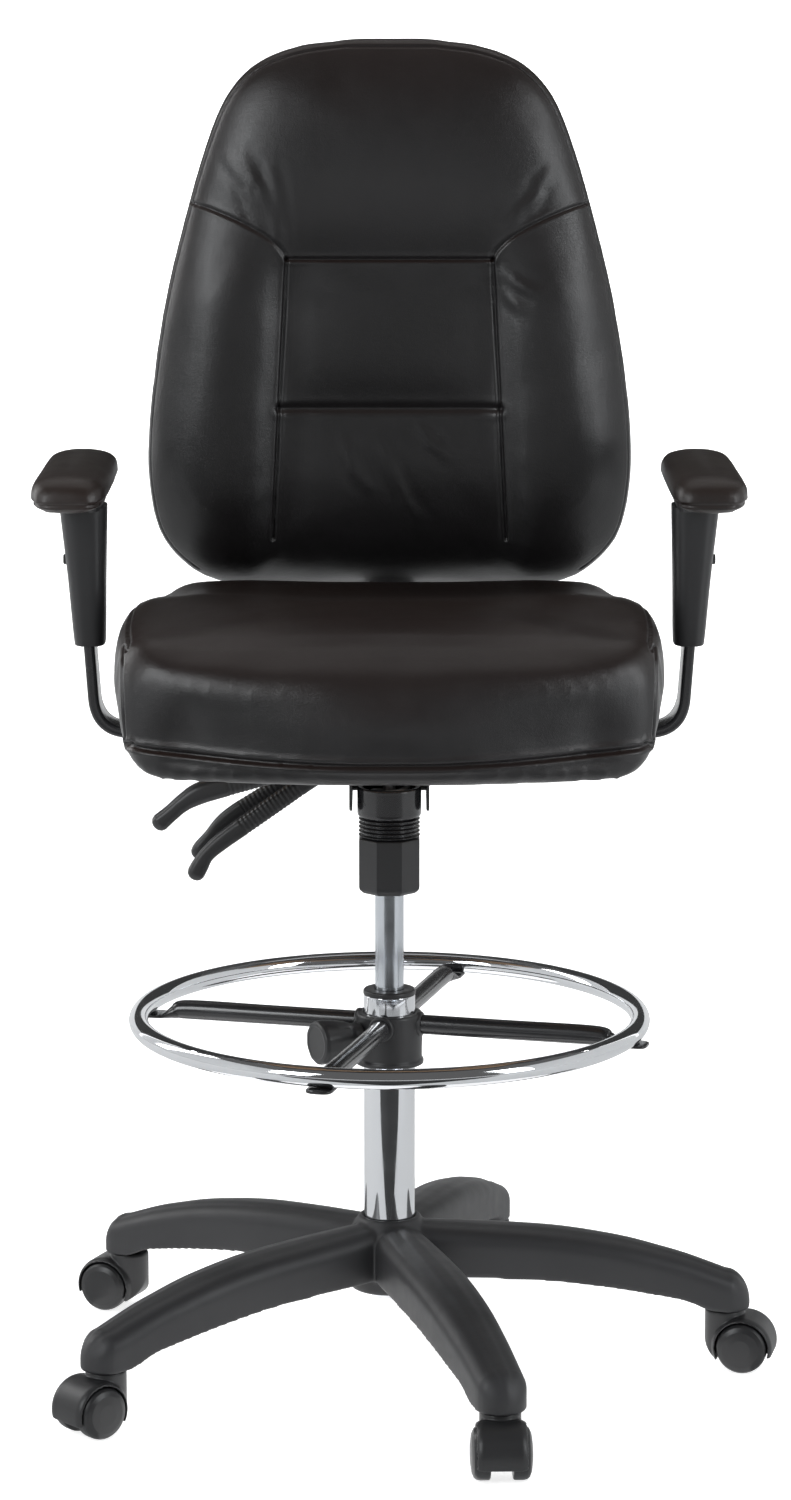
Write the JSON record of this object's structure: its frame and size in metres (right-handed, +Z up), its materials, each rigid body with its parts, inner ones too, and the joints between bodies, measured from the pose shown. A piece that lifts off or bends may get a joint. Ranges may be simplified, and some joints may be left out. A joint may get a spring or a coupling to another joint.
{
  "type": "drafting chair",
  "caption": "Tall drafting chair with padded leather seat and back, T-shaped adjustable arms, chrome foot ring and star base on casters.",
  "frame": {"origin": "centre of the object's box at floor level; the column stands 22.8 mm towards -X from it", "axes": "+Z up, the sitter faces -Y, +X to the sitter's left"},
  "size_m": [0.7222, 0.7306, 1.294],
  "materials": {
    "black_nylon": "satin",
    "black_plastic": "satin",
    "wheel_plastic": "gloss",
    "chrome": "polished",
    "steel": "satin",
    "black_paint": "gloss",
    "leather": "satin",
    "arm_pad_skin": "satin",
    "plywood": "matte"
  },
  "bodies": {
    "base": {"base_star": "black_nylon", "outer_tube": "chrome", "tube_bushing": "black_plastic", "tube_foot_cap": "chrome"},
    "swivel": {"piston_rod": "steel", "thrust_bearing": "steel"},
    "column": {"gas_cylinder": "chrome", "mechanism_housing": "black_paint", "tilt_shaft": "steel", "tension_collar": "black_paint", "tension_spring": "steel", "tension_bolt": "steel"},
    "seat": {"seat_plate": "black_paint", "recline_shaft": "steel", "seat_pan": "plywood", "seat_cushion": "leather"},
    "back_arm": {"back_bar": "black_paint"},
    "back": {"back_slider": "black_plastic", "back_shell": "black_plastic", "back_cushion": "leather"},
    "foot_rest": {"ring_hub": "black_plastic", "foot_ring": "chrome", "ring_spoke_1": "black_paint", "ring_spoke_2": "black_paint", "ring_spoke_3": "black_paint", "ring_spoke_4": "black_paint"},
    "ring_clamp": {"ring_clamp_knob": "black_plastic"},
    "tension": {"tension_knob": "black_plastic"},
    "height_lever": {"lever_height": "black_plastic"},
    "back_lever": {"lever_back": "black_plastic"},
    "tilt_lever": {"lever_tilt": "black_plastic"},
    "release": {"release_pin": "steel"},
    "arm_bar_left": {"arm_bar_left": "black_paint"},
    "arm_left": {"arm_sleeve_left": "black_plastic", "arm_pad_left": "arm_pad_skin"},
    "button_left": {"arm_button_left": "black_plastic"},
    "arm_bar_right": {"arm_bar_right": "black_paint"},
    "arm_right": {"arm_sleeve_right": "black_plastic", "arm_pad_right": "arm_pad_skin"},
    "button_right": {"arm_button_right": "black_plastic"},
    "caster_1": {"caster_stem_1": "steel", "caster_hood_1": "black_plastic"},
    "wheel_left_1": {"caster_wheel_left_1": "wheel_plastic"},
    "wheel_right_1": {"caster_wheel_right_1": "wheel_plastic"},
    "caster_2": {"caster_stem_2": "steel", "caster_hood_2": "black_plastic"},
    "wheel_left_2": {"caster_wheel_left_2": "wheel_plastic"},
    "wheel_right_2": {"caster_wheel_right_2": "wheel_plastic"},
    "caster_3": {"caster_stem_3": "steel", "caster_hood_3": "black_plastic"},
    "wheel_left_3": {"caster_wheel_left_3": "wheel_plastic"},
    "wheel_right_3": {"caster_wheel_right_3": "wheel_plastic"},
    "caster_4": {"caster_stem_4": "steel", "caster_hood_4": "black_plastic"},
    "wheel_left_4": {"caster_wheel_left_4": "wheel_plastic"},
    "wheel_right_4": {"caster_wheel_right_4": "wheel_plastic"},
    "caster_5": {"caster_stem_5": "steel", "caster_hood_5": "black_plastic"},
    "wheel_left_5": {"caster_wheel_left_5": "wheel_plastic"},
    "wheel_right_5": {"caster_wheel_right_5": "wheel_plastic"}
  },
  "joints": [
    {"name": "seat_swivel", "type": "hinge", "parent": "base", "child": "swivel", "pos_m": [-0.0228, 0, 0.09], "axis": [0, 0, 1], "continuous": true},
    {"name": "seat_height", "type": "slide", "parent": "swivel", "child": "column", "axis": [0, 0, 1], "range_m": [-0.115, 0.085]},
    {"name": "seat_tilt", "type": "hinge", "parent": "column", "child": "seat", "pos_m": [-0.0228, -0.052, 0.612], "axis": [1, 0, 0], "range_deg": [-6, 4]},
    {"name": "back_recline", "type": "hinge", "parent": "seat", "child": "back_arm", "pos_m": [-0.0228, 0.19, 0.6], "axis": [1, 0, 0], "range_deg": [-10, 3]},
    {"name": "back_height", "type": "slide", "parent": "back_arm", "child": "back", "axis": [0, 0, 1], "range_m": [0, 0.06]},
    {"name": "arm_height_left", "type": "slide", "parent": "arm_bar_left", "child": "arm_left", "axis": [0.0698, 0, 0.9976], "range_m": [-0.03, 0.04]},
    {"name": "arm_height_right", "type": "slide", "parent": "arm_bar_right", "child": "arm_right", "axis": [-0.0698, 0, 0.9976], "range_m": [-0.03, 0.04]},
    {"name": "arm_width_left", "type": "slide", "parent": "seat", "child": "arm_bar_left", "axis": [1, 0, 0], "range_m": [0, 0.025]},
    {"name": "arm_width_right", "type": "slide", "parent": "seat", "child": "arm_bar_right", "axis": [-1, 0, 0], "range_m": [0, 0.025]},
    {"name": "foot_ring_height", "type": "slide", "parent": "base", "child": "foot_rest", "axis": [0, 0, 1], "range_m": [-0.14, 0.015]},
    {"name": "lever_height_lift", "type": "hinge", "parent": "column", "child": "height_lever", "pos_m": [-0.0588, 0, 0.609], "axis": [0, 1, 0], "range_deg": [0, 7], "stiffness_Nm_per_rad": 3},
    {"name": "lever_back_lift", "type": "hinge", "parent": "column", "child": "back_lever", "pos_m": [-0.0588, 0.034, 0.603], "axis": [0, 1, 0], "range_deg": [0, 10], "stiffness_Nm_per_rad": 3},
    {"name": "lever_tilt_lift", "type": "hinge", "parent": "column", "child": "tilt_lever", "pos_m": [-0.0588, 0.064, 0.599], "axis": [0, 1, 0], "range_deg": [0, 10], "stiffness_Nm_per_rad": 3},
    {"name": "tension_turn", "type": "hinge", "parent": "column", "child": "tension", "pos_m": [-0.0228, -0.085, 0.524], "axis": [0, 0, 1], "range_deg": [-720, 720]},
    {"name": "ring_clamp_turn", "type": "hinge", "parent": "foot_rest", "child": "ring_clamp", "pos_m": [-0.0228, 0, 0.338], "axis": [-0.866, -0.5, 0], "range_deg": [-360, 360]},
    {"name": "release_pin_press", "type": "slide", "parent": "column", "child": "release", "axis": [0, 0, 1], "range_m": [-0.0055, 0]},
    {"name": "arm_button_press_left", "type": "slide", "parent": "arm_left", "child": "button_left", "axis": [-1, 0, 0], "range_m": [0, 0.003], "stiffness_N_per_m": 300},
    {"name": "arm_button_press_right", "type": "slide", "parent": "arm_right", "child": "button_right", "axis": [1, 0, 0], "range_m": [0, 0.003], "stiffness_N_per_m": 300},
    {"name": "caster_swivel_1", "type": "hinge", "parent": "base", "child": "caster_1", "pos_m": [0.3082, 0, 0.06], "axis": [0, 0, 1], "continuous": true},
    {"name": "caster_swivel_2", "type": "hinge", "parent": "base", "child": "caster_2", "pos_m": [0.07949, 0.3148, 0.06], "axis": [0, 0, 1], "continuous": true},
    {"name": "caster_swivel_3", "type": "hinge", "parent": "base", "child": "caster_3", "pos_m": [-0.29058, 0.19456, 0.06], "axis": [0, 0, 1], "continuous": true},
    {"name": "caster_swivel_4", "type": "hinge", "parent": "base", "child": "caster_4", "pos_m": [-0.29058, -0.19456, 0.06], "axis": [0, 0, 1], "continuous": true},
    {"name": "caster_swivel_5", "type": "hinge", "parent": "base", "child": "caster_5", "pos_m": [0.07949, -0.3148, 0.06], "axis": [0, 0, 1], "continuous": true},
    {"name": "wheel_roll_left_1", "type": "hinge", "parent": "caster_1", "child": "wheel_left_1", "pos_m": [0.32769, -0.0045, 0.025], "axis": [0.225, 0.9744, 0], "continuous": true},
    {"name": "wheel_roll_right_1", "type": "hinge", "parent": "caster_1", "child": "wheel_right_1", "pos_m": [0.32769, -0.0045, 0.025], "axis": [0.225, 0.9744, 0], "continuous": true},
    {"name": "wheel_roll_left_2", "type": "hinge", "parent": "caster_2", "child": "wheel_left_2", "pos_m": [0.08018, 0.33479, 0.025], "axis": [-0.9994, 0.0349, 0], "continuous": true},
    {"name": "wheel_roll_right_2", "type": "hinge", "parent": "caster_2", "child": "wheel_right_2", "pos_m": [0.08018, 0.33479, 0.025], "axis": [-0.9994, 0.0349, 0], "continuous": true},
    {"name": "wheel_roll_left_3", "type": "hinge", "parent": "caster_3", "child": "wheel_left_3", "pos_m": [-0.309, 0.20237, 0.025], "axis": [-0.3907, -0.9205, 0], "continuous": true},
    {"name": "wheel_roll_right_3", "type": "hinge", "parent": "caster_3", "child": "wheel_right_3", "pos_m": [-0.309, 0.20237, 0.025], "axis": [-0.3907, -0.9205, 0], "continuous": true},
    {"name": "wheel_roll_left_4", "type": "hinge", "parent": "caster_4", "child": "wheel_left_4", "pos_m": [-0.30568, -0.20768, 0.025], "axis": [0.6561, -0.7547, 0], "continuous": true},
    {"name": "wheel_roll_right_4", "type": "hinge", "parent": "caster_4", "child": "wheel_right_4", "pos_m": [-0.30568, -0.20768, 0.025], "axis": [0.6561, -0.7547, 0], "continuous": true},
    {"name": "wheel_roll_left_5", "type": "hinge", "parent": "caster_5", "child": "wheel_left_5", "pos_m": [0.08018, -0.33479, 0.025], "axis": [0.9994, 0.0349, 0], "continuous": true},
    {"name": "wheel_roll_right_5", "type": "hinge", "parent": "caster_5", "child": "wheel_right_5", "pos_m": [0.08018, -0.33479, 0.025], "axis": [0.9994, 0.0349, 0], "continuous": true}
  ],
  "couplings": [
    {"joint": "release_pin_press", "follows": "lever_height_lift", "m_per_rad": -0.04}
  ]
}
